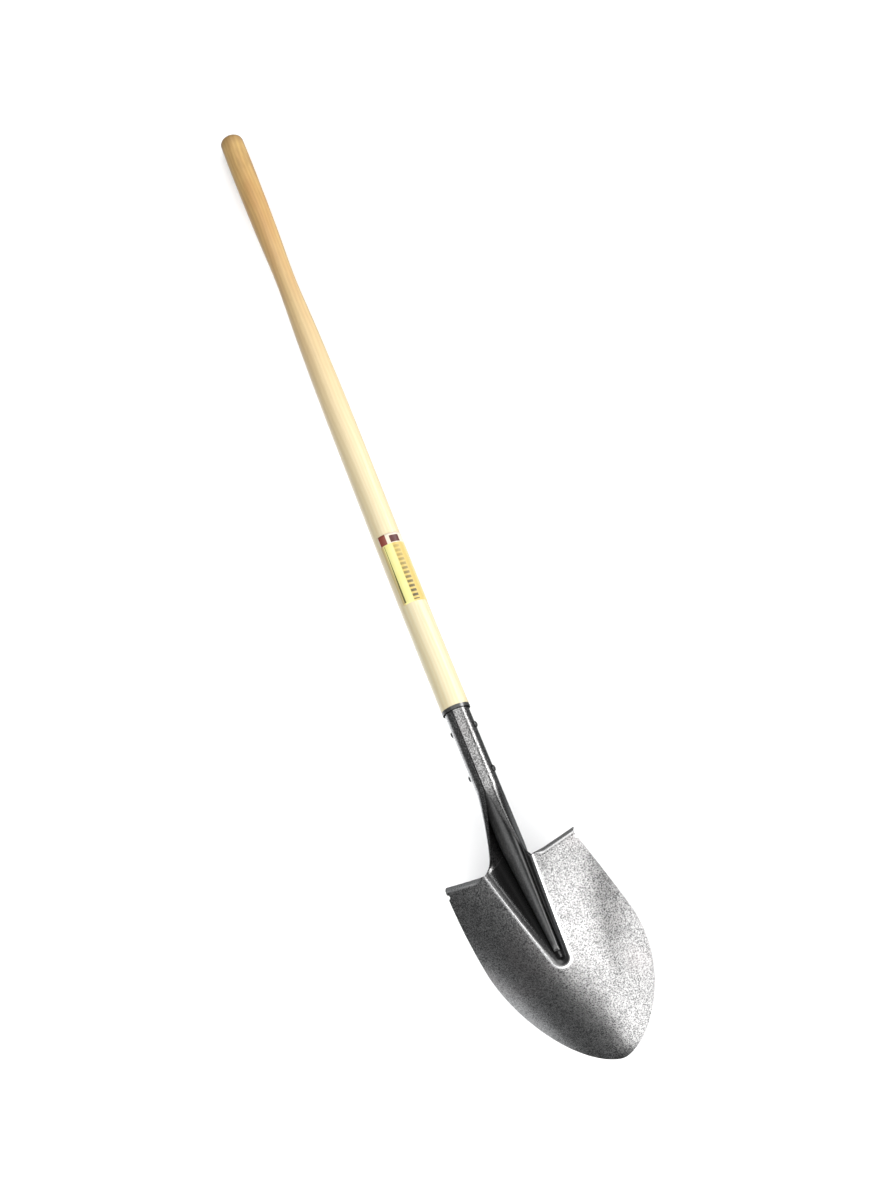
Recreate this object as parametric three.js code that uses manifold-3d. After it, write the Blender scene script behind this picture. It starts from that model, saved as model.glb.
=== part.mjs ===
// Round point shovel with an open-back steel blade and a long wooden handle, in millimetres.
//
// The shovel is built in its own tool frame: +Z runs up the socket towards the grip end, +Y points to the
// hollow front of the blade, and the origin is the point of the socket's axis level with the shoulders.
// At the end it is laid down as it rests on the ground: front down, on its point, one side edge and the
// end of the handle.
import * as THREE from "three";
import { ConvexHull } from "three/addons/math/ConvexHull.js";
import { mergeVertices } from "three/addons/utils/BufferGeometryUtils.js";
import Module from "manifold-3d";

const wasm = await Module();
wasm.setup();

// ---- driving dimensions ----

const sheet = 1.8; // thickness of the steel

const blade = {
  length: 296, // shoulders to point, along the keel
  lift: 28, // degrees between the keel and the socket's axis
  socketOffset: 51, // the socket's axis stands this far in front of the keel, level with the shoulders
  camber: 8, // how far the keel bows backwards half way down
  rise: 10, // how far the point turns forwards
  shoulderHalfWidth: 92.5,
  halfWidth: 105, // at the widest place
  widestAt: 0.44, // share of the length
  sideCurve: 1.35, // exponent of the nearly straight sides
  pointCurve: 0.65, // exponent of the round point
  sweep: 6, // the shoulders' outer ends stand this much higher than the inner ones
  dishTop: 430, // radius of the cross section at the shoulders
  dishPoint: 118, // and at the point
};

// The forward-turned foot rests. Their upper edge lies the drop below the shoulders' inner corners.
const step = { turn: 92, radius: 5, flat: 4.5, drop: 3.5, runIn: 14, reach: 0.25 };
const notch = { radius: 3, below: 4 }; // relief cut under each outer end of the steps

const frog = {
  length: 146.5, // shoulders to the lower end of the hollow
  halfWidth: 34, // between the rims, level with the shoulders
  tipRadius: 13, // radius of the hollow's round lower end
  ridgeTip: 5, // radius of the ridge's front at its lower end
  ease: 5, // how far the ridge leaves the line of the socket's front wall by its lower end
};

const socket = {
  radius: 16.8, // outside
  top: 200, // height of its upper edge
  opening: 85, // height at which its back is closed
  flare: 0.26, // share of the lips' spread that comes in the last few millimetres above the shoulders
  flareHeight: 4,
  seam: 1.2, // gap of the back seam
};

const handle = {
  end: 1165, // height of the grip end
  clearance: 0.5, // between the wood and the steel
  bendStart: 220,
  bendEnd: 460,
  bend: 2.7, // degrees, forwards
  endRound: 9, // radius that rounds the grip end
  toe: 136, // the tapered toe reaches this far below the shoulders
  bevel: 2.5, // the toe's bevelled back lies this far inside the hollow's mouth
};

const rivet = { heights: [170, 107], shank: 2.6, headRadius: 4.6, headHeight: 2.4 };

const label = { low: 354, high: 459, from: -22, to: 116, thickness: 0.4, gap: 0.3 };

const columns = { frog: 18, side: 6 };
const rows = { frog: 13, blade: 17, socket: 16, step: 3 };

// ---- small helpers ----

const rad = THREE.MathUtils.degToRad;
const lerp = THREE.MathUtils.lerp;
const clamp = THREE.MathUtils.clamp;
const smooth = (x, low, high) => THREE.MathUtils.smoothstep(x, low, high);

const lift = rad(blade.lift);
const along = new THREE.Vector3(0, Math.sin(lift), -Math.cos(lift)); // down the keel
const front = new THREE.Vector3(0, Math.cos(lift), Math.sin(lift)); // out of the blade's front
const middle = socket.radius - sheet / 2; // radius of the middle of the socket's wall

// A point given by its distance across, down the keel and in front of the keel line.
function onBlade(x, u, n) {
  return new THREE.Vector3(x, 0, 0)
    .addScaledVector(along, u)
    .addScaledVector(front, n - blade.socketOffset);
}

// A closed geometry from rings of points with equal counts: neighbours are joined and both ends are capped.
function loft(rings) {
  const count = rings[0].length;
  const points = rings.flat();
  const index = [];
  for (let i = 0; i + 1 < rings.length; i++)
    for (let j = 0; j < count; j++) {
      const a = i * count + j;
      const b = i * count + ((j + 1) % count);
      index.push(a, b, a + count, b, b + count, a + count);
    }
  for (const [ring, flip] of [[0, true], [rings.length - 1, false]]) {
    const centre = rings[ring].reduce((s, p) => s.add(p), new THREE.Vector3()).divideScalar(count);
    points.push(centre);
    for (let j = 0; j < count; j++) {
      const a = ring * count + j;
      const b = ring * count + ((j + 1) % count);
      index.push(...(flip ? [b, a, points.length - 1] : [a, b, points.length - 1]));
    }
  }
  return geometryOf(points, index);
}

function geometryOf(points, index) {
  return new THREE.BufferGeometry().setFromPoints(points).setIndex(index);
}

// The geometry as a manifold solid, and back.
function solidOf(geometry) {
  const bare = geometry.clone();
  bare.deleteAttribute("normal");
  bare.deleteAttribute("uv");
  const merged = mergeVertices(bare, 1e-3);
  return new wasm.Manifold(
    new wasm.Mesh({
      numProp: 3,
      vertProperties: new Float32Array(merged.getAttribute("position").array),
      triVerts: new Uint32Array(merged.index.array),
    }),
  );
}

function geometryFrom(solid) {
  const mesh = solid.getMesh();
  return new THREE.BufferGeometry()
    .setAttribute("position", new THREE.BufferAttribute(mesh.vertProperties, 3))
    .setIndex(new THREE.BufferAttribute(mesh.triVerts, 1));
}

function bored(geometry, drills) {
  return geometryFrom(drills.reduce((solid, drill) => solid.subtract(solidOf(drill)), solidOf(geometry)));
}

function named(name, geometry, material) {
  geometry.computeVertexNormals();
  const mesh = new THREE.Mesh(geometry, material);
  mesh.name = name;
  return mesh;
}

// ---- the blade's steel ----

// Half the blade's width: nearly straight sides, then a round point.
function halfWidth(s) {
  if (s < blade.widestAt) {
    const rise = 1 - (1 - s / blade.widestAt) ** blade.sideCurve;
    return lerp(blade.shoulderHalfWidth, blade.halfWidth, rise);
  }
  const v = (s - blade.widestAt) / (1 - blade.widestAt);
  return blade.halfWidth * (1 - v * v) ** blade.pointCurve;
}

// Height of the dished blade in front of the keel line.
function dish(x, u) {
  const s = clamp(u / blade.length, 0, 1);
  const curvature = lerp(1 / blade.dishTop, 1 / blade.dishPoint, s);
  return (x * x * curvature) / 2 - blade.camber * 4 * s * (1 - s) + blade.rise * s ** 3;
}

// Where the hollow's straight rims end and its round lower end begins.
const frogEnd = frog.length - frog.tipRadius;

// Half the distance between the rims of the hollow above its round end.
function rimHalfWidth(u) {
  return lerp(frog.halfWidth, frog.tipRadius, clamp(u / frogEnd, 0, 1));
}

// The front of the ridge, in front of the keel line: the socket's front wall carried on, easing forward a little.
function ridge(u) {
  const start = blade.socketOffset + middle / Math.cos(lift);
  return start - u * Math.tan(lift) + frog.ease * (u / frogEnd) ** 2;
}

// Radius of the ridge's front at distance u below the shoulders.
function ridgeRadius(u) {
  return lerp(middle, frog.ridgeTip, clamp(u / frogEnd, 0, 1));
}

// One point of the hollow's cross section: side runs from -1, the left rim, to 1, the right rim. The middle half
// is the ridge's round front, and the outer quarters are its walls. It gives [x, n].
function hollow(side, u) {
  const rimX = rimHalfWidth(u);
  const rimN = dish(rimX, u);
  const top = ridge(u);
  const radius = ridgeRadius(u);
  const low = top - Math.min(radius / Math.cos(lift), (top - rimN) * 0.55);
  const sign = Math.sign(side);
  const share = Math.abs(side);
  if (share <= 0.5) {
    const turn = share * Math.PI;
    return [sign * radius * Math.sin(turn), top - (top - low) * (1 - Math.cos(turn))];
  }
  const w = (share - 0.5) * 2;
  const curve = (a, b, c) => a * (1 - w) * (1 - w) + 2 * b * w * (1 - w) + c * w * w;
  const x = curve(radius, lerp(radius, rimX, 0.12), rimX);
  return [sign * x, curve(low, lerp(low, rimN, 0.6), rimN)];
}

// One point of the socket's wall. The wall's plan is blended from the hollow's section level with the shoulders
// to the closed tube, and the section's plane turns from square on the keel to square on the socket.
function socketWall(side, height) {
  const rise = clamp(height / socket.opening, 0, 1);
  const flare = socket.flare * Math.exp(-height / socket.flareHeight);
  const open = (1 - socket.flare) * (1 - rise) ** 1.2 + flare * (1 - rise);
  const [x, n] = hollow(side, 0);
  const spread = new THREE.Vector2(x, (n - blade.socketOffset) * Math.cos(lift));
  const turn = side * (Math.PI - socket.seam / 2 / middle);
  const tube = new THREE.Vector2(middle * Math.sin(turn), middle * Math.cos(turn));
  const plan = tube.lerp(spread, open);
  const tilt = Math.tan(lift) * (1 - smooth(height, 0, socket.opening * 1.2));
  return new THREE.Vector3(plan.x, plan.y, height + plan.y * tilt);
}

// One row of the blade outside the hollow, for the columns beyond the rims.
function bladeSides(line, u, rim) {
  const half = columns.frog / 2;
  const s = u / blade.length;
  const edge = halfWidth(s);
  const fade = clamp(1 - s / step.reach, 0, 1) ** 2;
  for (let out = 1; out <= columns.side; out++) {
    const share = out / columns.side;
    const x = lerp(rim, edge, share);
    const lowered = (step.radius + step.drop) * smooth(share, 0, 0.25) * fade;
    const swept = u + lowered - blade.sweep * (1 - s) ** 3 * share;
    line.set(half + out, onBlade(x, swept, dish(x, swept)));
    line.set(-half - out, onBlade(-x, swept, dish(x, swept)));
  }
}

// The sheet's middle surface as rows of points, in two pieces: from the socket's top to where the hollow's straight
// rims end, and from the hollow's round end to the point. Rows of the socket hold the hollow's columns only; a row
// of the blade runs from edge to edge.
function upperGrid() {
  const half = columns.frog / 2;
  const grid = [];
  for (let i = rows.socket; i > 0; i--) {
    const share = i / rows.socket;
    const lips = socket.opening * (share / 0.7) ** 1.7;
    const height = share < 0.7 ? lips : lerp(socket.opening, socket.top, (share - 0.7) / 0.3);
    const line = new Map();
    for (let j = -half; j <= half; j++) line.set(j, socketWall(j / half, height));
    grid.push(line);
  }
  for (let i = 0; i <= rows.frog; i++) {
    const u = frogEnd * (i / rows.frog);
    const line = new Map();
    for (let j = -half; j <= half; j++) {
      const [x, n] = hollow(j / half, u);
      line.set(j, onBlade(x, u, n));
    }
    bladeSides(line, u, rimHalfWidth(u));
    grid.push(line);
  }
  return grid;
}

// The rows below the hollow bulge round its lower end and straighten towards the point.
function lowerGrid() {
  const half = columns.frog / 2;
  const grid = [];
  for (let i = 0; i <= rows.blade; i++) {
    const t = i / rows.blade;
    const u = lerp(frogEnd, blade.length * 0.9992, 1 - (1 - t) ** 1.3);
    const rim = Math.min(frog.tipRadius, halfWidth(u / blade.length) * 0.3);
    const round = clamp(1 - t / 0.4, 0, 1);
    const line = new Map();
    for (let j = -half; j <= half; j++) {
      const turn = (Math.PI / 2) * (j / half);
      const x = rim * lerp(j / half, Math.sin(turn), round);
      const down = u + frog.tipRadius * Math.cos(turn) * round ** 2;
      line.set(j, onBlade(x, down, dish(x, down)));
    }
    bladeSides(line, u, rim);
    grid.push(line);
  }
  return grid;
}

// The hollow's round lower end: half of its last section, turned about the point where the straight rims end.
// It gives the point at column j of the section turned by the given angle from straight down.
function hollowEnd(j, angle) {
  const [x0, n0] = hollow(j / (columns.frog / 2), frogEnd);
  const depth = n0 - dish(x0, frogEnd);
  const x = x0 * Math.sin(angle);
  const u = frogEnd + x0 * Math.cos(angle);
  return onBlade(x, u, dish(x, u) + depth);
}

// The forward-turned step above one column of the blade's first row, from the fold to its free edge.
function stepPoints(sign, out, fold) {
  const share = out / columns.side;
  const x = lerp(frog.halfWidth, blade.shoulderHalfWidth, share);
  const grown = smooth(x, frog.halfWidth, frog.halfWidth + step.runIn);
  const n = fold.dot(front) + blade.socketOffset;
  const u = fold.dot(along);
  const radius = step.radius * smooth(share, 0, 0.25);
  const points = [];
  for (let k = 1; k <= rows.step; k++) {
    const turn = rad(step.turn) * (k / rows.step);
    points.push(onBlade(sign * x, u - radius * Math.sin(turn), n + radius * (1 - Math.cos(turn))));
  }
  const end = rad(step.turn);
  const free = points.at(-1).clone();
  free.addScaledVector(along, -step.flat * grown * Math.cos(end));
  points.push(free.addScaledVector(front, step.flat * grown * Math.sin(end)));
  return points;
}

// Blade, steps, hollow and socket as one sheet: the middle surface is moved out by half the thickness on both
// sides along its normals, and its free edges are closed.
function steelSheet() {
  const points = [];
  const faces = [];
  const add = (p) => points.push(p) - 1;
  const quad = (a, b, c, d) => {
    if (a !== b && b !== c && a !== c) faces.push([a, b, c]);
    if (a !== c && c !== d && a !== d) faces.push([a, c, d]);
  };
  const join = (grid) => {
    for (let i = 0; i + 1 < grid.length; i++)
      for (const [j, a] of grid[i]) {
        const b = grid[i].get(j + 1);
        if (b !== undefined) quad(a, grid[i + 1].get(j), grid[i + 1].get(j + 1), b);
      }
  };
  const half = columns.frog / 2;
  const upper = upperGrid().map((line) => new Map([...line].map(([j, p]) => [j, add(p)])));
  const end = upper.at(-1);
  const lower = lowerGrid().map((line, i) => {
    const known = (j) => i === 0 && Math.abs(j) >= half;
    return new Map([...line].map(([j, p]) => [j, known(j) ? end.get(j) : add(p)]));
  });
  join(upper);
  join(lower);
  let ring = Array(2 * half + 1).fill(end.get(0));
  for (let k = 1; k <= half; k++) {
    const next = [];
    for (let j = -half; j <= half; j++) {
      if (Math.abs(j) === half) next.push(end.get(Math.sign(j) * k));
      else if (k === half) next.push(lower[0].get(j));
      else next.push(add(hollowEnd(k, (Math.PI / 2) * (j / half))));
    }
    for (let m = 0; m < 2 * half; m++) quad(ring[m], next[m], next[m + 1], ring[m + 1]);
    ring = next;
  }
  const shoulder = upper[rows.socket];
  for (const sign of [-1, 1]) {
    let before = Array(rows.step + 2).fill(shoulder.get(sign * half));
    for (let out = 1; out <= columns.side; out++) {
      const fold = shoulder.get(sign * (half + out));
      const now = [fold, ...stepPoints(sign, out, points[fold]).map(add)];
      for (let k = 0; k + 1 < now.length; k++) {
        if (sign > 0) quad(before[k + 1], before[k], now[k], now[k + 1]);
        else quad(now[k + 1], now[k], before[k], before[k + 1]);
      }
      before = now;
    }
  }
  return thickened(points, faces);
}

function thickened(points, faces) {
  const normals = points.map(() => new THREE.Vector3());
  const edges = new Map();
  for (const [a, b, c] of faces) {
    const ab = points[b].clone().sub(points[a]);
    const ac = points[c].clone().sub(points[a]);
    const normal = ab.cross(ac);
    for (const p of [a, b, c]) normals[p].add(normal);
    for (const [p, q] of [[a, b], [b, c], [c, a]]) {
      if (edges.has(q + " " + p)) edges.delete(q + " " + p);
      else edges.set(p + " " + q, [p, q]);
    }
  }
  const count = points.length;
  const moved = (sign) =>
    points.map((p, i) => p.clone().addScaledVector(normals[i].clone().normalize(), (sign * sheet) / 2));
  const index = faces.flatMap(([a, b, c]) => [a, b, c, c + count, b + count, a + count]);
  for (const [p, q] of edges.values()) index.push(q, p, p + count, q, p + count, q + count);
  return geometryOf([...moved(1), ...moved(-1)], index);
}

// ---- the handle ----

// Height and radius up the handle: the shoulder above the socket, the full body, the slimmer waist and the swollen
// grip end.
const inside = middle - sheet / 2 - handle.clearance;
const body = new THREE.SplineCurve(
  [
    [socket.top + 1, 18.7],
    [socket.top + 4, 19.2],
    [300, 19.2],
    [460, 19.2],
    [640, 19.0],
    [716, 18.4],
    [796, 16.9],
    [838, 15.7],
    [886, 14.3],
    [923, 14.5],
    [965, 15.7],
    [1000, 16.5],
    [1053, 17.2],
    [1107, 17.5],
    [handle.end - handle.endRound, 17.2],
  ].map(([height, radius]) => new THREE.Vector2(height, radius)),
).getPoints(34);

// The handle's axis bends forward above the socket.
function handleAxis(height) {
  const { bendStart, bendEnd } = handle;
  const bend = rad(handle.bend);
  const inBend = clamp(height, bendStart, bendEnd) - bendStart;
  const beyond = Math.max(height - bendEnd, 0);
  const y = (bend * inBend ** 2) / (2 * (bendEnd - bendStart)) + bend * beyond;
  return new THREE.Vector3(0, y, height);
}

function woodRing(height, radius, sides = 24) {
  const slope = handleAxis(height + 1).sub(handleAxis(height)).normalize();
  const across = new THREE.Vector3(1, 0, 0);
  const forward = new THREE.Vector3().crossVectors(slope, across);
  return Array.from({ length: sides }, (_, k) => {
    const turn = (2 * Math.PI * k) / sides;
    return handleAxis(height)
      .addScaledVector(across, radius * Math.cos(turn))
      .addScaledVector(forward, radius * Math.sin(turn));
  });
}

// A ring of the toe: it narrows with the hollow, keeps against the ridge's front and is bevelled at the back.
function toeRing(height) {
  const u = (middle * Math.tan(lift) - height) / (Math.cos(lift) + Math.sin(lift) * Math.tan(lift));
  const radius = Math.min(inside, ridgeRadius(Math.max(u, 0)) - sheet / 2 - handle.clearance);
  const ring = woodRing(height, radius);
  for (const p of ring) {
    p.y += inside - radius;
    const depth = p.dot(front) + blade.socketOffset;
    const bevel = handle.bevel + dish(0, p.dot(along));
    if (depth < bevel) p.addScaledVector(front, bevel - depth);
  }
  return ring;
}

function handleWood() {
  const rings = [];
  for (let k = 0; k < 12; k++) rings.push(toeRing(lerp(-handle.toe, 6, k / 12)));
  for (const height of [10, 60, 130, socket.top + 0.5]) rings.push(woodRing(height, inside));
  rings.push(woodRing(socket.top + 0.6, body[0].y - 0.5));
  for (const { x, y } of body) rings.push(woodRing(x, y));
  for (const turn of [22, 45, 68, 90]) {
    const lean = rad(turn);
    const height = handle.end - handle.endRound * (1 - Math.sin(lean));
    rings.push(woodRing(height, body.at(-1).y - handle.endRound * (1 - Math.cos(lean))));
  }
  return loft(rings);
}

// ---- rivets and label ----

function rivetAt(height) {
  const reach = socket.radius + 0.3;
  const head = [];
  for (let k = 1; k <= 4; k++) {
    const turn = (Math.PI / 2) * (k / 4);
    head.push([rivet.headRadius * Math.cos(turn), reach + rivet.headHeight * Math.sin(turn)]);
  }
  const upper = [[rivet.shank, reach], [rivet.headRadius, reach], ...head];
  const lower = upper.map(([r, y]) => [r, -y]).reverse();
  const profile = [...lower, ...upper].map(([r, y]) => new THREE.Vector2(Math.max(r, 0), y));
  const geometry = new THREE.LatheGeometry(profile, 16);
  return geometry.rotateZ(-Math.PI / 2).translate(0, 0, height);
}

function rivetDrill(height) {
  const drill = new THREE.CylinderGeometry(rivet.shank + 0.3, rivet.shank + 0.3, 4 * socket.radius, 16);
  return drill.rotateZ(Math.PI / 2).translate(0, 0, height);
}

// A thin sticker wrapped round part of the handle, from one angle to the other, measured from the back of the
// handle towards its right side.
function labelWrap() {
  const steps = 14;
  const rings = [];
  for (let k = 0; k <= 6; k++) {
    const height = lerp(label.low, label.high, k / 6);
    const [inner, outer] = [label.gap, label.gap + label.thickness].map((lifted) => {
      const radius = body[6].y + lifted;
      return Array.from({ length: steps + 1 }, (_, i) => {
        const turn = rad(lerp(label.from, label.to, i / steps));
        return handleAxis(height).add(new THREE.Vector3(radius * Math.sin(turn), -radius * Math.cos(turn), 0));
      });
    });
    rings.push([...outer, ...inner.reverse()]);
  }
  return stripLoft(rings, steps + 1);
}

// Like loft, for rings that are flat bands: their ends are closed by a strip between the two halves.
function stripLoft(rings, half) {
  const count = rings[0].length;
  const index = [];
  for (let i = 0; i + 1 < rings.length; i++)
    for (let j = 0; j < count; j++) {
      const a = i * count + j;
      const b = i * count + ((j + 1) % count);
      index.push(a, b, a + count, b, b + count, a + count);
    }
  const top = (rings.length - 1) * count;
  for (let j = 0; j + 1 < half; j++) {
    const across = count - 1 - j;
    index.push(j + 1, j, across, j + 1, across, across - 1);
    index.push(top + j, top + j + 1, top + across, top + j + 1, top + across - 1, top + across);
  }
  return geometryOf(rings.flat(), index);
}

// ---- the assembly ----

const paint = new THREE.MeshStandardMaterial({ color: 0x55565a, roughness: 0.38, metalness: 0.7 });
const ash = new THREE.MeshStandardMaterial({ color: 0xecd3a0, roughness: 0.55, metalness: 0 });
const rivetSteel = new THREE.MeshStandardMaterial({ color: 0x2c2d30, roughness: 0.4, metalness: 0.6 });
const sticker = new THREE.MeshStandardMaterial({ color: 0xf1d44e, roughness: 0.45, metalness: 0 });

// Relief cuts at the outer ends of the blade's upper edge.
function notchDrill(sign) {
  const drill = new THREE.CylinderGeometry(notch.radius, notch.radius, 30, 16);
  const fold = step.radius + step.drop - blade.sweep;
  const centre = onBlade(sign * (blade.shoulderHalfWidth + 1), fold + notch.below, dish(blade.shoulderHalfWidth, 0));
  return drill.rotateX(-Math.PI / 2 + lift + Math.PI / 2).translate(...centre.toArray());
}

// Centre of mass of the steel and the wood together, from the tetrahedra between the origin and each triangle.
function balance(meshes) {
  const sum = new THREE.Vector3();
  let mass = 0;
  for (const [mesh, density] of meshes) {
    const position = mesh.geometry.getAttribute("position");
    const corner = (k) => new THREE.Vector3().fromBufferAttribute(position, mesh.geometry.index.getX(k));
    for (let k = 0; k < mesh.geometry.index.count; k += 3) {
      const [a, b, c] = [corner(k), corner(k + 1), corner(k + 2)];
      const part = (density * a.dot(b.clone().cross(c))) / 6;
      sum.addScaledVector(a.add(b).add(c), part / 4);
      mass += part;
    }
  }
  return sum.divideScalar(mass);
}

// How the shovel lies when it is put down front first and rolls onto its left edge: the ground is the face of its
// convex hull there that is nearest to the centre of mass. The grip end points to +Y and the middle of the outline
// is above the origin.
function laidDown(tool) {
  const [steel, wood] = tool.children;
  const centre = balance([[steel, 7.85], [wood, 0.68]]);
  const points = [];
  for (const mesh of tool.children) {
    const position = mesh.geometry.getAttribute("position");
    for (let i = 0; i < position.count; i++) points.push(new THREE.Vector3().fromBufferAttribute(position, i));
  }
  const faces = new ConvexHull().setFromPoints(points).faces.filter((f) => f.normal.y > 0.8 && f.normal.x < 0);
  const ground = faces.sort((a, b) => b.distanceToPoint(centre) - a.distanceToPoint(centre))[0];
  const up = ground.normal.clone().negate();
  const far = new THREE.Vector3(0, 0, 1).projectOnPlane(up).normalize();
  const across = new THREE.Vector3().crossVectors(far, up);
  const turned = new THREE.Matrix4().makeBasis(across, far, up).transpose();
  const box = new THREE.Box3().setFromPoints(points.map((p) => p.applyMatrix4(turned)));
  const group = new THREE.Group();
  group.add(tool);
  tool.applyMatrix4(turned);
  tool.position.set(-(box.min.x + box.max.x) / 2, -(box.min.y + box.max.y) / 2, -box.min.z);
  return group;
}

const drills = rivet.heights.map(rivetDrill);
const tool = new THREE.Group();
tool.add(
  named("blade", bored(steelSheet(), [...drills, notchDrill(-1), notchDrill(1)]), paint),
  named("handle", bored(handleWood(), drills), ash),
  named("upper_rivet", rivetAt(rivet.heights[0]), rivetSteel),
  named("lower_rivet", rivetAt(rivet.heights[1]), rivetSteel),
  named("label", labelWrap(), sticker),
);

export default laidDown(tool);
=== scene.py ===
"""Round point shovel, laid down front first, seen from above on a pale floor."""

from math import cos, pi, radians, sin, tan

import bmesh
import bpy
import numpy as np
from mathutils import Matrix, Vector


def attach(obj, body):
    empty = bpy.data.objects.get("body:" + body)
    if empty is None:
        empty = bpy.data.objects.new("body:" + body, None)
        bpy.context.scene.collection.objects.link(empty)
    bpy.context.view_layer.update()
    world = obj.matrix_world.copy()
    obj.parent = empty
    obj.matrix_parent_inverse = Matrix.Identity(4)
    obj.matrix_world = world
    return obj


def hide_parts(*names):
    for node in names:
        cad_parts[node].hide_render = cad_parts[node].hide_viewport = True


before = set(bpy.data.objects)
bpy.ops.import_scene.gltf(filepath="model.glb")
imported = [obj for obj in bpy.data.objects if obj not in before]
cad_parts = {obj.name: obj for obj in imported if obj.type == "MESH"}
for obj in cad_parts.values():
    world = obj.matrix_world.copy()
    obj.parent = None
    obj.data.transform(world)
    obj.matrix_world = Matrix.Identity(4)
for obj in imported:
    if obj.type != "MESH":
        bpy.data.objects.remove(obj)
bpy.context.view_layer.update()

# ---- dimensions of the tool, in millimetres, as in the CAD model ----

SHEET = 1.8
LENGTH, LIFT, OFFSET = 296.0, radians(28), 51.0
CAMBER, RISE = 8.0, 10.0
SHOULDER, WIDEST, WIDEST_AT = 92.5, 105.0, 0.44
SIDE_CURVE, POINT_CURVE = 1.35, 0.65
SWEEP = 6.0
DISH_TOP, DISH_POINT = 430.0, 118.0
STEP_TURN, STEP_RADIUS, STEP_FLAT, STEP_DROP, STEP_RUN = radians(92), 5.0, 4.5, 3.5, 14.0
NOTCH_RADIUS, NOTCH_BELOW = 3.0, 4.0
FROG, FROG_WIDTH, FROG_TIP, RIDGE_TIP, EASE = 146.5, 34.0, 13.0, 5.0, 5.0
RIDGE_SHARE, LIP = 0.55, 4.0
SOCKET, SOCKET_TOP, OPENING, FLARE, FLARE_HEIGHT, SEAM = 16.8, 200.0, 85.0, 0.26, 4.0, 1.2
HANDLE_END, BEND_START, BEND_END, BEND, END_ROUND = 1165.0, 220.0, 460.0, radians(2.7), 9.0
TOE, BEVEL, CLEARANCE = 136.0, 2.5, 0.5
HANDLE_RADIUS = 19.2
RIVETS, SHANK, HEAD_RADIUS, HEAD_HEIGHT = (170.0, 107.0), 2.6, 4.6, 2.4
RIVET_GAP = 0.3
LABEL_LOW, LABEL_HIGH, LABEL_FROM, LABEL_TO = 354.0, 459.0, radians(-22), radians(116)
LABEL_GAP, FILM = 0.3, 0.4

# Painted highlights: the width of the bright band round the hollow's rim, and a line along the toe's
# right flank, whose place is an angle round the handle.
RIM_HIGHLIGHT = 3.0
TOE_EDGE, TOE_EDGE_WIDTH, TOE_HIGHLIGHT = radians(318), 0.1, 0.55

# How finely the surfaces are divided.
HALF_SECTION, SIDE_COLUMNS = 38, 40
SOCKET_ROWS, THROAT_ROWS, HOLLOW_ROWS, POINT_ROWS, STEP_ROWS = 24, 46, 80, 110, 9
TOE_ROWS, RING_POINTS, BODY_ROWS, END_ROWS = 60, 73, 260, 14

MIDDLE = SOCKET - SHEET / 2
INSIDE = MIDDLE - SHEET / 2 - CLEARANCE
FROG_END = FROG - FROG_TIP

# How the tool lies in the frame: its own axis points to +Y and down by the pitch, and it is rolled to the
# left. The tool's own frame has Z up the socket, Y to the front and X to the right as seen from the back.
ROLL, PITCH = radians(7.888), radians(1.900)
ORIGIN = np.array([-4.51, -439.75, 93.41])
AXIS_Z = np.array([0.0, cos(PITCH), -sin(PITCH)])
FLAT_X = np.array([1.0, 0.0, 0.0])
FLAT_Y = np.cross(AXIS_Z, FLAT_X)
AXIS_X = cos(ROLL) * FLAT_X - sin(ROLL) * FLAT_Y
AXIS_Y = cos(ROLL) * FLAT_Y + sin(ROLL) * FLAT_X
TURN = np.stack([AXIS_X, AXIS_Y, AXIS_Z])


def lay(points):
    """Tool coordinates in millimetres to the frame's coordinates in metres."""
    return (points @ TURN + ORIGIN) / 1000


# ---- the formulas of the steel ----


def smooth(x, low, high):
    """0 before low and 1 after high, or the other way round where low is the larger."""
    t = np.clip((x - low) / (high - low), 0, 1)
    return t * t * (3 - 2 * t)


def mix(a, b, t):
    """The straight line from a, at t = 0, to b, at t = 1."""
    return a + (b - a) * t


def on_blade(x, u, n):
    """x across, u down the keel and n in front of it; the keel leans back from the socket by the lift."""
    n = n - OFFSET
    return np.stack([x, u * sin(LIFT) + n * cos(LIFT), -u * cos(LIFT) + n * sin(LIFT)], -1)


def half_width(s):
    """Nearly straight sides down to the widest place, then a round point as a power of a circle's formula."""
    upper = mix(SHOULDER, WIDEST, 1 - np.clip(1 - s / WIDEST_AT, 0, 1) ** SIDE_CURVE)
    v = np.clip((s - WIDEST_AT) / (1 - WIDEST_AT), 0, 1)
    return np.where(s < WIDEST_AT, upper, WIDEST * (1 - v * v) ** POINT_CURVE)


def dish(x, u):
    """A parabola across that tightens towards the point, on a keel that bows back and turns up at the point."""
    s = np.clip(u / LENGTH, 0, 1)
    return x * x * mix(1 / DISH_TOP, 1 / DISH_POINT, s) / 2 - CAMBER * 4 * s * (1 - s) + RISE * s**3


def rim_half_width(u):
    """Half the width of the hollow's opening, on a straight taper to its round lower end."""
    return mix(FROG_WIDTH, FROG_TIP, np.clip(u / FROG_END, 0, 1))


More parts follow.
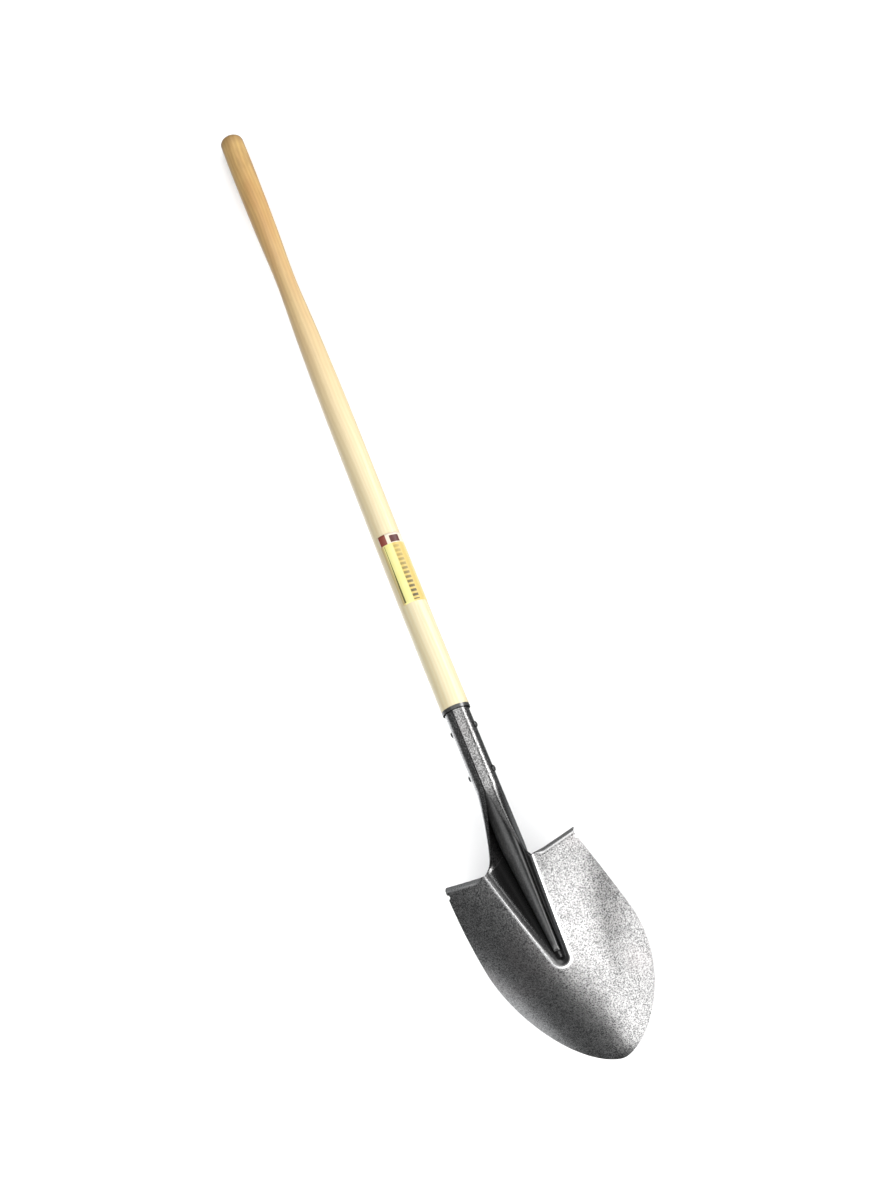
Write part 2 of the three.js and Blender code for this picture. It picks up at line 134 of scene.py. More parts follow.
def hollow(side, u):
    """Section of the hollow, across and in front of the blade's plane.

    The side runs from -1 to 1. Up to 0.5 it is a quarter ellipse over the ridge, and from there a cubic
    curve that ends in a flat lip at the rim.
    """
    rim_x = rim_half_width(u)
    rim_n = dish(rim_x, u)
    top = OFFSET + MIDDLE / cos(LIFT) - u * tan(LIFT) + EASE * (u / FROG_END) ** 2
    radius = mix(MIDDLE, RIDGE_TIP, np.clip(u / FROG_END, 0, 1))
    low = top - np.minimum(radius / cos(LIFT), (top - rim_n) * RIDGE_SHARE)
    share = np.abs(side)
    turn = np.clip(share, 0, 0.5) * pi
    w = np.clip((share - 0.5) * 2, 0, 1)
    w = 1 - (1 - w) ** 1.6
    a, b, c, d = (1 - w) ** 3, 3 * w * (1 - w) ** 2, 3 * w * w * (1 - w), w**3
    lip = np.minimum(LIP, (rim_x - radius) * 0.5)
    wall_x = a * radius + b * mix(radius, rim_x, 0.1) + c * (rim_x - lip) + d * rim_x
    wall_n = a * low + b * mix(low, rim_n, 0.7) + c * dish(rim_x - lip, u) + d * rim_n
    inner = share <= 0.5
    x = np.where(inner, radius * np.sin(turn), wall_x) * np.sign(side)
    n = np.where(inner, top - (top - low) * (1 - np.cos(turn)), wall_n)
    return x, n


def socket_wall(side, height):
    """The hollow's section at the shoulders blended into the tube, as its plane turns square to the tube."""
    rise = np.clip(height / OPENING, 0, 1)
    flare = FLARE * np.exp(-height / FLARE_HEIGHT)
    spread = (1 - FLARE) * (1 - rise) ** 1.2 + flare * (1 - rise)
    x, n = hollow(side, np.zeros_like(height))
    turn = side * (pi - SEAM / 2 / MIDDLE)
    plan_x = mix(MIDDLE * np.sin(turn), x, spread)
    plan_y = mix(MIDDLE * np.cos(turn), (n - OFFSET) * cos(LIFT), spread)
    tilt = tan(LIFT) * (1 - smooth(height, 0, OPENING * 1.2))
    return np.stack([plan_x, plan_y, height + plan_y * tilt], -1)


def side_points(share, u, rim):
    """The sheet from the hollow to the edge: rows swept up and, near the steps, lowered towards the edge."""
    s = u / LENGTH
    fade = np.clip(1 - s / 0.25, 0, 1) ** 2
    down = u + (STEP_RADIUS + STEP_DROP) * smooth(share, 0, 0.25) * fade - SWEEP * (1 - s) ** 3 * share
    fold = STEP_RADIUS + STEP_DROP - SWEEP + NOTCH_BELOW
    bite = np.sqrt(np.clip(1 - ((down - fold) / NOTCH_RADIUS) ** 2, 0, 1)) * NOTCH_RADIUS
    x = mix(rim, half_width(s), share) - bite * share**14
    return x, down


# ---- grids of points ----


SIDE = np.linspace(-1, 1, 2 * HALF_SECTION + 1)
QUARTER_TURNS = SIDE[None] * pi / 2
SHARE = np.linspace(0, 1, SIDE_COLUMNS + 1) ** 1.5


def grids():
    """The sheet's middle surface in patches: points with rows first, a shade and a rim value for each.

    The shade is painted shade: above 0 inside the hollow, and below 0 in the throat, where it is darker on
    the right. The rim value is a painted highlight on the hollow's rims and on the steps.
    """
    u = FROG_END * np.linspace(0, 1, HOLLOW_ROWS) ** 1.25
    t = np.linspace(0, 1, POINT_ROWS)
    low = mix(FROG_END, LENGTH * 0.9992, 1 - (1 - t) ** 1.3)
    rim = np.minimum(FROG_TIP, half_width(low / LENGTH) * 0.3)
    patches = [socket_patch(), hollow_patch(u)]
    patches += [beside_hollow(u, sign) for sign in (1, -1)]
    patches += [below_hollow(t, low, rim)]
    patches += [beside_point(low, rim, sign) for sign in (1, -1)]
    patches += [hollow_end()]
    patches += [step_patch(sign) for sign in (1, -1)]
    return patches


def socket_patch():
    """The socket, from its mouth down to the shoulders."""
    closed = np.linspace(SOCKET_TOP, OPENING, SOCKET_ROWS)[:-1]
    height = np.concatenate([closed, OPENING * np.linspace(1, 0, THROAT_ROWS) ** 1.5])
    # Painted shade in the throat, stronger on the right side than on the left.
    painted_throat_shade = smooth(height, 92, 62)[:, None] * smooth(np.abs(SIDE), 0.45, 0.7)[None]
    painted_throat_darkness = painted_throat_shade * smooth(height, 0, 12)[:, None] * mix(0.35, 0.85, SIDE > 0)[None]
    return socket_wall(*np.meshgrid(SIDE, height)), -painted_throat_darkness, 0.0


def hollow_patch(u):
    """The hollow, from the shoulders to where its round end begins."""
    sides, us = np.meshgrid(SIDE, u)
    x, n = hollow(sides, us)
    return on_blade(x, us, n), *wall_values(np.abs(sides))


def beside_hollow(u, sign):
    """The sheet beside the hollow, right or left."""
    shares, us = np.meshgrid(SHARE, u)
    x, down = side_points(shares, us, rim_half_width(us))
    # Painted highlight: a bright band along the hollow's rim.
    painted_highlight_and_wear = smooth(x - rim_half_width(us), RIM_HIGHLIGHT, 0.3 * RIM_HIGHLIGHT)
    points = on_blade(sign * x, down, dish(x, down))
    return points[:, ::sign], 0.0, painted_highlight_and_wear[:, ::sign]


def below_hollow(t, low, rim):
    """The blade's middle below the hollow: it starts at the hollow's round end and flattens to the point."""
    round_ = np.clip(1 - t / 0.4, 0, 1)[:, None]
    x = rim[:, None] * mix(SIDE[None], np.sin(QUARTER_TURNS), round_)
    down = low[:, None] + FROG_TIP * np.cos(QUARTER_TURNS) * round_**2
    return on_blade(x, down, dish(x, down)), 0.0, rim_highlight_round_end(x, down)


def beside_point(low, rim, sign):
    """The sheet beside that middle, right or left."""
    shares, lows = np.meshgrid(SHARE, low)
    x, down = side_points(shares, lows, rim[:, None])
    points = on_blade(sign * x, down, dish(x, down))
    return points[:, ::sign], 0.0, rim_highlight_round_end(x, down)[:, ::sign]


def hollow_end():
    """The hollow's round end: half of its last section turned about the middle."""
    reach = np.linspace(0, 1, HALF_SECTION + 1)
    x0, n0 = hollow(reach, np.full_like(reach, FROG_END))
    depth = n0 - dish(x0, FROG_END)
    x = x0[:, None] * np.sin(QUARTER_TURNS)
    down = FROG_END + x0[:, None] * np.cos(QUARTER_TURNS)
    return on_blade(x, down, dish(x, down) + depth[:, None]), *wall_values(reach[:, None])


def step_patch(sign):
    """A step, with a painted highlight from the second row of its bend to the end of it."""
    points = step_points(SHARE, sign)
    row = np.arange(len(points))
    painted_step_highlight = smooth(row, 1, 3) * smooth(row, STEP_ROWS, STEP_ROWS - 1)
    painted_highlight_and_wear = 0.8 * painted_step_highlight[:, None] * smooth(SHARE, 0.05, 0.2)[None]
    return points[:, ::-sign], 0.0, painted_highlight_and_wear[:, ::-sign]


def wall_values(share):
    """Painted shade and painted highlight over the hollow's section: shade inside up to near the rim, highlight
    at the rim itself.
    """
    return 1 - smooth(share, 0.8, 0.96), smooth(share, 0.9, 0.98)


def rim_highlight_round_end(x, down):
    """The rim value on the blade by the distance from the middle of the hollow's round end."""
    return smooth(np.hypot(x, down - FROG_END), FROG_TIP + RIM_HIGHLIGHT, FROG_TIP + 0.3 * RIM_HIGHLIGHT)


def step_points(share, sign):
    """The foot rest: each column bends forwards round the step's radius and ends in a short flat."""
    zero = np.zeros_like(share)
    x, down = side_points(share, zero, FROG_WIDTH)
    n = dish(x, down)
    radius = STEP_RADIUS * smooth(share, 0, 0.25)
    turn = np.linspace(0, STEP_TURN, STEP_ROWS)[:, None]
    u = down - radius * np.sin(turn)
    fold = n + radius * (1 - np.cos(turn))
    flat = STEP_FLAT * smooth(x, FROG_WIDTH, FROG_WIDTH + STEP_RUN)
    u = np.concatenate([u, u[-1:] - flat * cos(STEP_TURN)])
    fold = np.concatenate([fold, fold[-1:] + flat * sin(STEP_TURN)])
    return on_blade(sign * np.broadcast_to(x, u.shape), u, fold)


def handle_axis(height):
    """Straight, then bent forwards along an arc, then straight again."""
    bent = np.clip(height, BEND_START, BEND_END) - BEND_START
    y = BEND * bent**2 / (2 * (BEND_END - BEND_START)) + BEND * np.maximum(height - BEND_END, 0)
    return np.stack([np.zeros_like(height), y, height], -1)


# The handle above the socket: height and radius.
BODY = np.array([
    [201, 18.7], [204, HANDLE_RADIUS], [300, HANDLE_RADIUS], [460, HANDLE_RADIUS], [640, 19.0],
    [716, 18.4], [796, 16.9], [838, 15.7], [886, 14.3], [923, 14.5],
    [965, 15.7], [1000, 16.5], [1053, 17.2], [1107, 17.5], [HANDLE_END - END_ROUND, 17.2],
])


def catmull(points, count):
    """Even steps along a Catmull-Rom curve through the points."""
    t = np.linspace(0, len(points) - 1, count)
    i = np.minimum(t.astype(int), len(points) - 2)
    w = (t - i)[:, None]
    p0, p1 = points[np.maximum(i - 1, 0)], points[i]
    p2, p3 = points[i + 1], points[np.minimum(i + 2, len(points) - 1)]
    v1, v2 = (p2 - p0) / 2, (p3 - p1) / 2
    cubic = 2 * p1 - 2 * p2 + v1 + v2
    square = -3 * p1 + 3 * p2 - 2 * v1 - v2
    return cubic * w**3 + square * w**2 + v1 * w + p1


def wood_rings():
    """Rings of the handle: bevelled toe, plain length in the socket, body and rounded grip end.

    The toe's circles narrow with the hollow and all touch one straight line at the front, and points that
    would stand out of the blade's back are pushed forwards to a bevel. Above the toe, circles stand square to
    the bent axis. Both ends close in a point.
    """
    turn = np.linspace(0, 2 * pi, RING_POINTS)
    ring = np.stack([np.cos(turn), np.sin(turn)], -1)
    toe = np.linspace(-TOE, 6, TOE_ROWS)
    u = (MIDDLE * tan(LIFT) - toe) / (cos(LIFT) + sin(LIFT) * tan(LIFT))
    narrow = mix(MIDDLE, RIDGE_TIP, np.clip(u / FROG_END, 0, 1)) - SHEET / 2 - CLEARANCE
    radius = np.minimum(INSIDE, narrow)[:, None]
    levels = np.broadcast_to(toe[:, None], (TOE_ROWS, RING_POINTS))
    low = np.stack([radius * ring[:, 0], INSIDE - radius + radius * ring[:, 1], levels], -1)
    depth = low[..., 1] * cos(LIFT) + low[..., 2] * sin(LIFT) + OFFSET
    keel = low[..., 1] * sin(LIFT) - low[..., 2] * cos(LIFT)
    push = np.maximum(BEVEL + dish(0.0, keel) - depth, 0)
    low[..., 1] += push * cos(LIFT)
    low[..., 2] += push * sin(LIFT)
    lean = np.linspace(0, pi / 2, END_ROWS)[1:]
    body = catmull(BODY, BODY_ROWS)
    end_height = HANDLE_END - END_ROUND * (1 - np.sin(lean))
    end = np.stack([end_height, body[-1, 1] - END_ROUND * (1 - np.cos(lean))], -1)
    plain = np.array([[10, INSIDE], [60, INSIDE], [130, INSIDE]])
    shoulder = np.array([[SOCKET_TOP + 0.5, INSIDE], [SOCKET_TOP + 0.6, 18.2]])
    cap = np.array([[HANDLE_END, (body[-1, 1] - END_ROUND) * k] for k in (0.5, 0.0)])
    rows = np.concatenate([plain, shoulder, body, end, cap])
    slope = handle_axis(rows[:, 0] + 1) - handle_axis(rows[:, 0])
    slope /= np.linalg.norm(slope, axis=1, keepdims=True)
    forward = np.cross(slope, [1.0, 0, 0])
    r = rows[:, 1, None, None]
    sideways = r * ring[None, :, :1] * [1.0, 0, 0]
    high = handle_axis(rows[:, 0])[:, None] + sideways + r * ring[None, :, 1:] * forward[:, None]
    tip = np.broadcast_to(low[:1, :-1].mean(1, keepdims=True), low[:1].shape)
    return np.concatenate([tip, low, high])


def rivet_points(height):
    """A profile spun round the shank: a quarter-ellipse dome on both sides and the shank between them."""
    lean = np.linspace(0, pi / 2, 10)
    reach = SOCKET + RIVET_GAP
    head = np.stack([HEAD_RADIUS * np.cos(lean), reach + HEAD_HEIGHT * np.sin(lean)], -1)
    upper = np.concatenate([[[SHANK, reach], [HEAD_RADIUS, reach]], head])
    profile = np.concatenate([(upper * [1, -1])[::-1], upper])
    around = np.linspace(0, 2 * pi, 33)
    r, x = profile[:, :1], profile[:, 1:]
    return np.stack([x + 0 * around, r * np.cos(around), height + r * np.sin(around)], -1)


# ---- meshes ----


WELD, FINE_WELD, SLIVER = 2e-5, 1e-6, 1e-6


def quads(rows, columns, start):
    """Corner numbers of the faces between neighbouring rows and columns."""
    a = start + np.arange(rows - 1)[:, None] * columns + np.arange(columns - 1)
    return np.stack([a, a + columns, a + columns + 1, a + 1], -1).reshape(-1, 4)


def piece(name, surfaces, nodes, material, weld=WELD, flip=False):
    """One mesh from patches of points, welded where they meet.

    Each point keeps its tool coordinates in metres and two painted light values, a shade and a rim highlight,
    as attributes for the materials.
    """
    points = np.concatenate([p.reshape(-1, 3) for p, _, _ in surfaces])
    shade = np.concatenate([np.broadcast_to(m, p.shape[:2]).reshape(-1) for p, m, _ in surfaces])
    rim = np.concatenate([np.broadcast_to(m, p.shape[:2]).reshape(-1) for p, _, m in surfaces])
    faces, start = [], 0
    for p, _, _ in surfaces:
        faces.append(quads(p.shape[0], p.shape[1], start))
        start += p.shape[0] * p.shape[1]
    faces = np.concatenate(faces)
    if flip:
        faces = faces[:, ::-1]
    mesh = bpy.data.meshes.new(name)
    mesh.from_pydata(lay(points).tolist(), [], faces.tolist())
    mesh.attributes.new("tool", "FLOAT_VECTOR", "POINT").data.foreach_set("vector", (points / 1000).ravel())
    mesh.attributes.new("shade", "FLOAT", "POINT").data.foreach_set("value", shade.astype(np.float32))
    mesh.attributes.new("rim", "FLOAT", "POINT").data.foreach_set("value", rim.astype(np.float32))
    obj = bpy.data.objects.new(name, mesh)
    bpy.context.scene.collection.objects.link(obj)
    bm = bmesh.new()
    bm.from_mesh(mesh)
    bmesh.ops.remove_doubles(bm, verts=bm.verts, dist=weld)
    bmesh.ops.dissolve_degenerate(bm, edges=bm.edges, dist=SLIVER)
    bm.to_mesh(mesh)
    bm.free()
    mesh.shade_smooth()
    mesh.materials.append(material)
    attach(obj, "root")
    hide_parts(*nodes)
    return obj


def thick(obj, thickness, offset=0.0, edge=0.0):
    """Gives a surface its sheet thickness and, where edge is more than 0, rounds its edges by that much."""
    solid = obj.modifiers.new("thickness", "SOLIDIFY")
    solid.thickness, solid.offset, solid.use_even_offset = thickness, offset, False
    if edge:
        bevel = obj.modifiers.new("edges", "BEVEL")
        bevel.width, bevel.segments, bevel.limit_method, bevel.angle_limit = edge, 2, "ANGLE", radians(55)
        bevel.harden_normals = True


# ---- materials ----


class Nodes:
    """Short calls for building a node tree."""

    def __init__(self, name):
        self.material = bpy.data.materials.new(name)
        self.material.use_nodes = True
        self.tree = self.material.node_tree
        self.shader = self.tree.nodes["Principled BSDF"]

    def add(self, kind, **values):
        """A new node, with the values set as its properties or else on the inputs of that name."""
        node = self.tree.nodes.new("ShaderNode" + kind)
        for key, value in values.items():
            if hasattr(node, key):
                setattr(node, key, value)
            else:
                self.set(node.inputs[key.replace("_", " ")], value)
        return node

    def set(self, socket, value):
        """Links an output to the socket, or sets a plain value on it."""
        if isinstance(value, bpy.types.NodeSocket):
            self.tree.links.new(value, socket)
        else:
            socket.default_value = value

    def math(self, operation, a, b=0.0, c=0.0):
        node = self.add("Math", operation=operation)
        for socket, value in zip(node.inputs, (a, b, c)):
            self.set(socket, value)
        return node.outputs[0]

    def map(self, value, low, high, to_low=0.0, to_high=1.0):
        """A smooth step from to_low, where the value is low, to to_high, where it is high."""
        node = self.add("MapRange", interpolation_type="SMOOTHSTEP")
        for socket, v in zip(node.inputs, (value, low, high, to_low, to_high)):
            self.set(socket, v)
        return node.outputs[0]

    def noise(self, vector, scale, detail=3.0, roughness=0.55):
        values = {"Vector": vector, "Scale": scale, "Detail": detail, "Roughness": roughness}
        return self.add("TexNoise", **values).outputs["Fac"]

    def attribute(self, name, output="Fac"):
        return self.add("Attribute", attribute_name=name).outputs[output]

    def split(self, vector):
        """The three components of a vector as outputs X, Y and Z."""
        return self.add("SeparateXYZ", Vector=vector).outputs

    def blend(self, factor, a, b):
        """Colour a where the factor is 0 and colour b where it is 1."""
        node = self.add("Mix", data_type="RGBA")
        self.set(node.inputs[0], factor)
        self.set(node.inputs[6], a)
        self.set(node.inputs[7], b)
        return node.outputs[2]

    def tool(self, scale=(1.0, 1.0, 1.0)):
        """The tool's own coordinates in metres, times a scale for each axis."""
        node = self.add("VectorMath", operation="MULTIPLY")
        self.set(node.inputs[0], self.attribute("tool", "Vector"))
        node.inputs[1].default_value = scale
        return node.outputs[0]

    def bump(self, height, strength, distance):
        node = self.add("Bump")
        node.inputs["Strength"].default_value = strength
        node.inputs["Distance"].default_value = distance
        self.set(node.inputs["Height"], height)
        self.set(self.shader.inputs["Normal"], node.outputs[0])

    def finish(self, color, roughness, metallic=0.0, **others):
        self.set(self.shader.inputs["Base Color"], color)
        self.set(self.shader.inputs["Roughness"], roughness)
        self.set(self.shader.inputs["Metallic"], metallic)
        for key, value in others.items():
            self.set(self.shader.inputs[key.replace("_", " ")], value)
        return self.material


def grey(value, warm=0.0):
    """A grey, with the red raised and the blue lowered by the share called warm."""
    return (value * (1 + warm), value, value * (1 - warm), 1.0)


# How fine the paint's grains are, per metre.
GRAIN = 620.0


def hammered_paint():
    """Dark glossy enamel with fine silver speckles.

    It has painted shade that makes it nearly black inside the hollow and dark in the throat, is dark at the
    socket's mouth, has painted highlights on the hollow's rims and the steps, and is worn dark at the point.
    The socket's paint is smoother than the blade's.
    """
    k = Nodes("hammered_paint")
    dark_grain, pale_grain, brownish = grey(0.05), grey(0.26, 0.01), (0.21, 0.185, 0.185, 1.0)
    painted_shade_black, mouth_black, shade_and_wear_grey, rim_highlight_grey = grey(0.006), grey(0.012), grey(0.03), grey(0.62)

    place = k.tool()
    z = k.split(place)["Z"]
    fine = k.noise(place, GRAIN, 2.0, 0.6)
    broad = k.noise(place, 60.0, 3.0, 0.6)
    cloud = k.noise(place, 14.0, 2.0, 0.5)
    grains = k.math("ADD", k.math("MULTIPLY", fine, 0.88), k.math("MULTIPLY", broad, 0.12))
    color = k.blend(k.map(grains, 0.36, 0.64), dark_grain, pale_grain)
    color = k.blend(k.map(cloud, 0.5, 0.75, 0.0, 0.25), color, brownish)

    # The painted shade that blackens the hollow is only on faces that look to the tool's back, so the front
    # keeps its paint.
    back = k.add("VectorMath", operation="DOT_PRODUCT")
    k.set(back.inputs[0], k.add("TexCoord").outputs["Normal"])
    back.inputs[1].default_value = tuple(-AXIS_Y)
    facing = k.map(back.outputs["Value"], -0.05, 0.1)
    shade = k.attribute("shade")
    inner = k.math("MULTIPLY", k.math("MAXIMUM", shade, 0.0), facing)
    color = k.blend(inner, color, painted_shade_black)
    mouth = k.map(z, 0.198, 0.1992)
    color = k.blend(k.math("MULTIPLY", mouth, 0.9), color, mouth_black)
    # Painted shade in the throat of the socket.
    painted_throat_shade = k.math("MAXIMUM", k.math("MULTIPLY", shade, -1.0), 0.0)
    color = k.blend(painted_throat_shade, color, shade_and_wear_grey)
    # Painted highlight on the hollow's rims and on the steps.
    color = k.blend(k.math("MULTIPLY", k.attribute("rim"), 0.85), color, rim_highlight_grey)
    painted_highlight_and_wear = k.map(k.math("ADD", z, k.math("MULTIPLY", broad, 0.02)), -0.258, -0.272)
    color = k.blend(k.math("MULTIPLY", painted_highlight_and_wear, 0.75), color, shade_and_wear_grey)

    tube = k.map(z, 0.03, 0.09)
    rough = k.math("ADD", 0.2, k.math("MULTIPLY", fine, 0.18))
    rough = k.math("SUBTRACT", rough, k.math("MULTIPLY", tube, 0.05))
    flatter = k.math("SUBTRACT", 1.0, k.math("MULTIPLY", tube, 0.7))
    k.bump(k.math("MULTIPLY", fine, flatter), 0.3, 0.0005)
    metal = k.math("SUBTRACT", 1.0, inner)
    return k.finish(color, rough, metal, Coat_Weight=0.35, Coat_Roughness=0.18)


def ash_wood():
    """Pale ash with growth rings cut lengthwise and long pores, and a toe dipped in black paint.

    The rings are a sine of the place across, warped by a long noise. A golden stain deepens towards the grip
    end. The dipped toe has a painted highlight along its right flank.
    """
    k = Nodes("ash_wood")
    pale_ash, warm_ash = (0.52, 0.465, 0.3, 1.0), (0.565, 0.465, 0.28, 1.0)
    gold, deep_gold = (0.47, 0.31, 0.115, 1.0), (0.42, 0.235, 0.08, 1.0)
    ring_tan, ring_brown = (0.49, 0.38, 0.22, 1.0), (0.3, 0.17, 0.055, 1.0)
    grime_brown, end_brown = (0.16, 0.08, 0.03, 1.0), (0.17, 0.09, 0.03, 1.0)
    dip_black, dip_grey, toe_highlight_grey = grey(0.01), grey(0.035), grey(0.5)

    place = k.tool()
    parts = k.split(place)
    z = parts["Z"]
    warp = k.noise(k.tool((8.0, 8.0, 1.3)), 1.0)
    slanted = k.math("ADD", parts["X"], k.math("MULTIPLY", parts["Y"], 0.35))
    warped = k.math("ADD", slanted, k.math("MULTIPLY", warp, 0.06))
    ring = k.map(k.math("SINE", k.math("MULTIPLY", warped, 1100.0)), -1.0, 1.0)
    pores = k.map(k.noise(k.tool((900.0, 900.0, 14.0)), 1.0, roughness=0.6), 0.5, 0.72)
    golden = k.map(z, 0.55, 1.08)
    tone = k.blend(k.map(z, 0.3, 0.75), pale_ash, warm_ash)
    blotch = k.map(k.noise(k.tool((30.0, 30.0, 9.0)), 1.0), 0.35, 0.68)
    stain = k.blend(blotch, gold, deep_gold)
    tone = k.blend(golden, tone, stain)
    dark = k.blend(golden, ring_tan, ring_brown)
    color = k.blend(k.math("MULTIPLY", ring, 0.38), tone, dark)
    color = k.blend(k.math("MULTIPLY", pores, 0.4), color, dark)
    specks = k.map(k.noise(k.tool((70.0, 70.0, 22.0)), 1.0), 0.42, 0.72)
    grime = k.math("MULTIPLY", k.map(z, 0.98, 1.16), specks)
    color = k.blend(k.math("MULTIPLY", grime, 0.4), color, grime_brown)
    color = k.blend(k.map(z, 1.14, 1.163, 0.0, 0.6), color, end_brown)

    dipped = k.map(z, 0.2012, 0.2006)
    grain = k.map(k.noise(place, GRAIN, 2.0, 0.6), 0.42, 0.66)
    color = k.blend(dipped, color, k.blend(grain, dip_black, dip_grey))
    # Painted highlight: a pale line along the dipped toe's right flank.
    color = k.blend(k.math("MULTIPLY", k.attribute("shade"), dipped), color, toe_highlight_grey)

    rough = k.math("ADD", 0.38, k.math("MULTIPLY", pores, 0.2))
    k.bump(k.math("ADD", k.math("MULTIPLY", pores, -1.0), k.math("MULTIPLY", ring, -0.3)), 0.25, 0.0003)
    return k.finish(color, rough, 0.0, Coat_Weight=0.25, Coat_Roughness=0.25)


def dark_steel():
    """Rivet steel: dark, with fine paler grains."""
    k = Nodes("dark_steel")
    fine = k.noise(k.tool(), 700.0, 2.0)
    color = k.blend(k.map(fine, 0.45, 0.65), grey(0.03), grey(0.14))
    k.bump(fine, 0.2, 0.0003)
    return k.finish(color, k.math("ADD", 0.3, k.math("MULTIPLY", fine, 0.2)), 0.8)


def sticker_film():
    """Yellow film with a tan edge, a thin dark line and a golden band with a column of equal short bars.

    At its upper end is a pale strip with a red and a dark block. It has no lettering.
    """
    k = Nodes("sticker_film")
    uv = k.split(k.attribute("sheet", "Vector"))
    across, up = uv["X"], uv["Y"]

    def band(value, low, high, soft=0.004):
        """1 between low and high, with edges twice as wide as soft."""
        rise = k.map(value, low - soft, low + soft)
        fall = k.map(value, high - soft, high + soft)
        return k.math("SUBTRACT", rise, fall)

    yellow, faded_yellow, straw = (0.6, 0.56, 0.19, 1.0), (0.62, 0.58, 0.27, 1.0), (0.55, 0.5, 0.28, 1.0)
    tan_edge, golden, cream = (0.42, 0.33, 0.15, 1.0), (0.42, 0.3, 0.07, 1.0), (0.58, 0.5, 0.4, 1.0)
    olive, brown, red = (0.1, 0.09, 0.025, 1.0), (0.05, 0.035, 0.012, 1.0), (0.17, 0.028, 0.014, 1.0)
    maroon = (0.06, 0.006, 0.004, 1.0)
    bars_from, bars_to, strip_from = 0.02, 0.84, 0.855

    fade = k.noise(k.tool(), 60.0)
    color = k.blend(k.map(fade, 0.3, 0.7, 0.0, 0.5), yellow, faded_yellow)
    color = k.blend(band(across, -1.0, 0.085), color, tan_edge)
    color = k.blend(k.map(across, 0.34, 0.4, 0.0, 0.9), color, golden)
    color = k.blend(k.map(across, 0.62, 0.9, 0.0, 0.8), color, straw)

    thinning = k.map(up, 0.0, 0.85, 0.075, 0.115)
    line = k.math("MULTIPLY", k.math("GREATER_THAN", across, thinning), k.math("LESS_THAN", across, 0.13))
    color = k.blend(k.math("MULTIPLY", line, band(up, bars_from, bars_to)), color, olive)

    bars = k.map(k.math("SINE", k.math("MULTIPLY", up, 96.0)), -0.6, 0.2)
    column = k.math("MULTIPLY", band(across, 0.38, 0.56, 0.015), band(up, bars_from, bars_to))
    printed = k.math("MULTIPLY", k.math("MULTIPLY", bars, column), k.map(up, 0.0, 0.9, 0.95, 0.3))
    color = k.blend(printed, color, brown)

    strip = band(up, strip_from, 2.0)
    color = k.blend(strip, color, cream)
    color = k.blend(k.math("MULTIPLY", band(across, 0.03, 0.25), strip), color, red)
    dark_block = k.math("MULTIPLY", band(across, 0.36, 0.66), band(up, 0.865, 0.965))
    color = k.blend(dark_block, color, maroon)

    k.bump(fade, 0.15, 0.0002)
    rough = k.math("ADD", 0.4, k.math("MULTIPLY", fade, 0.12))
    return k.finish(color, rough, 0.0, Coat_Weight=0.1, Coat_Roughness=0.3)


def pale_floor():
    """Matt white with a faint unevenness."""
    k = Nodes("pale_floor")
    uneven = k.noise(k.add("TexCoord").outputs["Object"], 3.0, 2.0)
    return k.finish(k.blend(uneven, grey(0.93), grey(0.96)), 0.9)


# ---- pieces ----

blade = piece("blade_sheet", grids(), ["blade"], hammered_paint(), flip=True)
thick(blade, SHEET / 1000, edge=0.00035)

around = np.linspace(0, 2 * pi, RING_POINTS)
# Painted highlight along the toe's right flank, carried in the handle's shade attribute.
painted_toe_highlight = TOE_HIGHLIGHT * np.exp(-(((around - TOE_EDGE) / TOE_EDGE_WIDTH) ** 2))[None]
piece("handle_wood", [(wood_rings(), painted_toe_highlight, 0.0)], ["handle"], ash_wood(), flip=True)

steel = dark_steel()
for node, height in zip(("upper_rivet", "lower_rivet"), RIVETS):
    spun = rivet_points(height)
    piece(node + "_head", [(spun, 0.0, 0.0)], [node], steel, weld=FINE_WELD, flip=True)

# The label lies round the handle; its "sheet" attribute runs from 0 to 1 across and up the film.
across = np.linspace(0, 1, 49)
up = np.linspace(0, 1, 41)
turns, heights = np.meshgrid(mix(LABEL_FROM, LABEL_TO, across), mix(LABEL_LOW, LABEL_HIGH, up))
outward = np.stack([np.sin(turns), -np.cos(turns), 0 * turns], -1)
wrapped = handle_axis(heights) + (HANDLE_RADIUS + LABEL_GAP) * outward
label = piece("label_film", [(wrapped, 0.0, 0.0)], ["label"], sticker_film())
sheet = np.stack([*np.meshgrid(across, up), 0 * turns], -1)
label.data.attributes.new("sheet", "FLOAT_VECTOR", "POINT").data.foreach_set("vector", sheet.ravel())
thick(label, FILM / 1000, offset=1.0)

# ---- floor, light and camera ----

# The floor lies 0.2 mm under the frame's ground, so no piece dips into it. Glossy paint doesn't mirror it, only
# the room round it.
bpy.ops.mesh.primitive_plane_add(size=14, location=(0, 0, -0.0002))
floor = bpy.context.object
floor.name = "floor"
floor.data.materials.append(pale_floor())
floor.visible_glossy = False

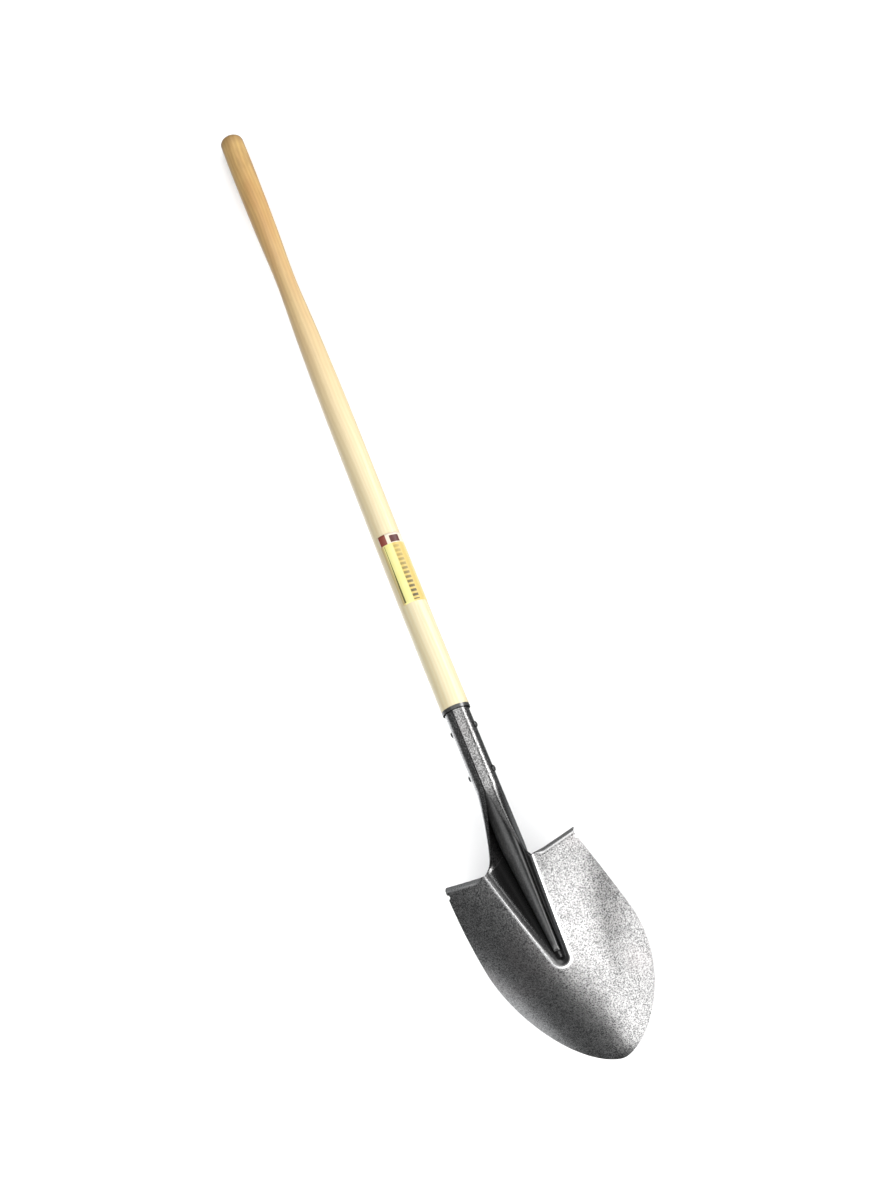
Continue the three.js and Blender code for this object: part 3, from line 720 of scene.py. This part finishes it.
# The room is an even grey that grows pale towards one direction, low down on the left.
PALE_SIDE = (-0.78, -0.1, -0.62)
PALE_FROM, PALE_TO, ROOM_LIGHT, PALE_LIGHT = 0.72, 0.9, 0.28, 2.6
world = bpy.data.worlds.new("studio")
bpy.context.scene.world = world
world.use_nodes = True
room = world.node_tree
backdrop = room.nodes["Background"]
backdrop.inputs["Color"].default_value = (0.96, 0.98, 1.0, 1.0)
facing = room.nodes.new("ShaderNodeVectorMath")
facing.operation = "DOT_PRODUCT"
facing.inputs[1].default_value = PALE_SIDE
room.links.new(room.nodes.new("ShaderNodeTexCoord").outputs["Generated"], facing.inputs[0])
glow = room.nodes.new("ShaderNodeMapRange")
glow.interpolation_type = "SMOOTHSTEP"
for socket, value in zip(glow.inputs[1:5], (PALE_FROM, PALE_TO, ROOM_LIGHT, PALE_LIGHT)):
    socket.default_value = value
room.links.new(facing.outputs["Value"], glow.inputs[0])
room.links.new(glow.outputs[0], backdrop.inputs["Strength"])

BLADE_CENTRE = Vector((0.0, -0.58, 0.08))
SOCKET_CENTRE = Vector((0.0, -0.33, 0.07))


def softbox(name, direction, distance, size, power, target=BLADE_CENTRE):
    """A rectangular area light that looks at the target from a direction and a distance."""
    data = bpy.data.lights.new(name, "AREA")
    data.shape, data.size, data.size_y, data.energy = "RECTANGLE", size[0], size[1], power
    light = bpy.data.objects.new(name, data)
    direction = Vector(direction).normalized()
    light.location = target + direction * distance
    light.rotation_euler = direction.to_track_quat("Z", "Y").to_euler()
    bpy.context.scene.collection.objects.link(light)


def bearing(azimuth, elevation):
    """A direction: the azimuth runs from -Y towards +X."""
    a, e = radians(azimuth), radians(elevation)
    return (sin(a) * cos(e), -cos(a) * cos(e), sin(e))


softbox("key", bearing(25, 19), distance=2.0, size=(2.4, 0.95), power=39)
softbox("key_high", bearing(-9, 46), distance=2.0, size=(1.3, 0.8), power=24)
softbox("side_strip", bearing(104, 12), distance=2.0, size=(1.8, 0.6), power=32, target=SOCKET_CENTRE)
softbox("overhead", (0.8, 0.25, 3.0), distance=3.2, size=(4.6, 4.6), power=150, target=Vector((0, 0, 0)))

bpy.context.scene.view_settings.view_transform = "Standard"

# The camera looks down on the tool's back from its right, turned so that the handle runs to the upper left.
CAMERA_AT = Vector((0.3653, -0.7756, 2.2678))
CAMERA_AIM = Vector((0.0194, -0.0691, 0.0))
CAMERA_ROLL = radians(50.31)
camera_data = bpy.data.cameras.new("camera")
camera_data.sensor_width, camera_data.lens = 36.0, 52.21
camera = bpy.data.objects.new("camera", camera_data)
aim = (CAMERA_AIM - CAMERA_AT).to_track_quat("-Z", "Y").to_matrix().to_4x4()
camera.matrix_world = Matrix.Translation(CAMERA_AT) @ aim @ Matrix.Rotation(-CAMERA_ROLL, 4, "Z")
bpy.context.scene.collection.objects.link(camera)
bpy.context.scene.camera = camera
